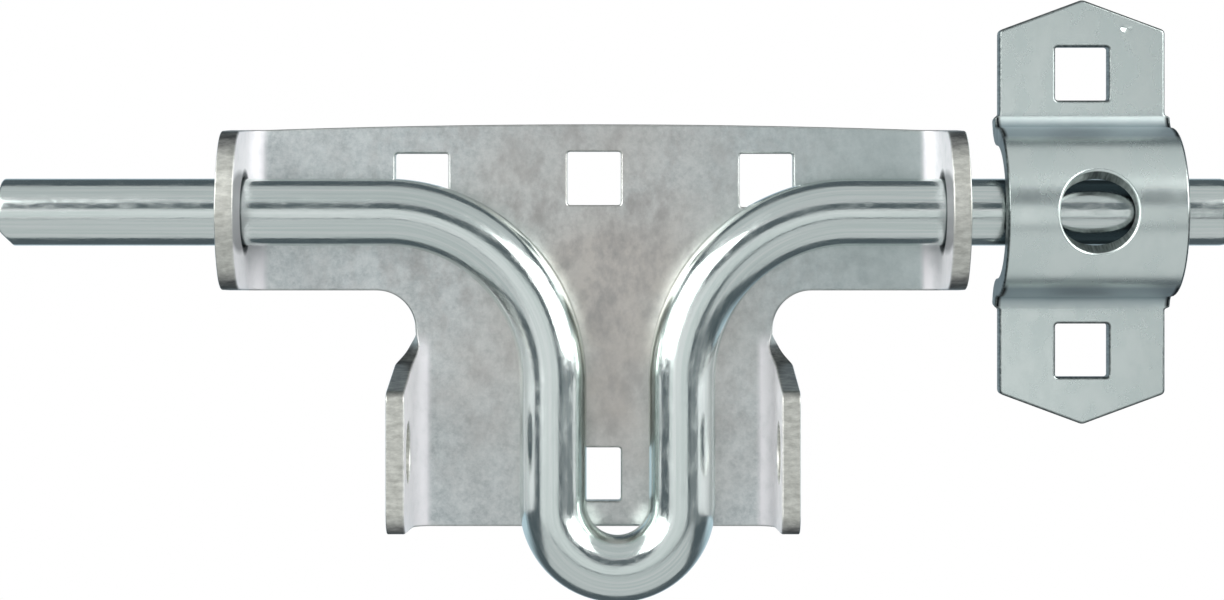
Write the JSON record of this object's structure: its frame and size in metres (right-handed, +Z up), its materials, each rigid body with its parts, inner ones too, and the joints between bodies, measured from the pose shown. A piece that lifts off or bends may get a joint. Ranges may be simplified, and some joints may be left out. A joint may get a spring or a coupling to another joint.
{
  "type": "sliding bolt door latch",
  "caption": "Folded steel plate with guide and lock ears, a sliding round bolt bent into a loop handle, and an arched keeper strap.",
  "frame": {"origin": "on the plate's back face (the face of the door), in the plate's middle across its width, level with the bolt's axis", "axes": "+X along the bolt towards the keeper, +Y into the door, +Z up"},
  "size_m": [0.2324, 0.028, 0.1147],
  "materials": {
    "zinc_plate": "zinc-plated sheet, satin and slightly cloudy",
    "zinc_rod": "zinc-plated drawn rod, bright with lengthwise draw lines",
    "zinc_strap": "zinc-plated sheet, smooth satin"
  },
  "bodies": {
    "fixed": {"latch_plate": "zinc_plate", "keeper": "zinc_strap"},
    "bolt": {"slide_bolt": "zinc_rod"}
  },
  "joints": [
    {"name": "bolt_slide", "type": "slide", "parent": "fixed", "child": "bolt", "axis": [1, 0, 0], "range_m": [-0.0205, 0.0115]}
  ]
}
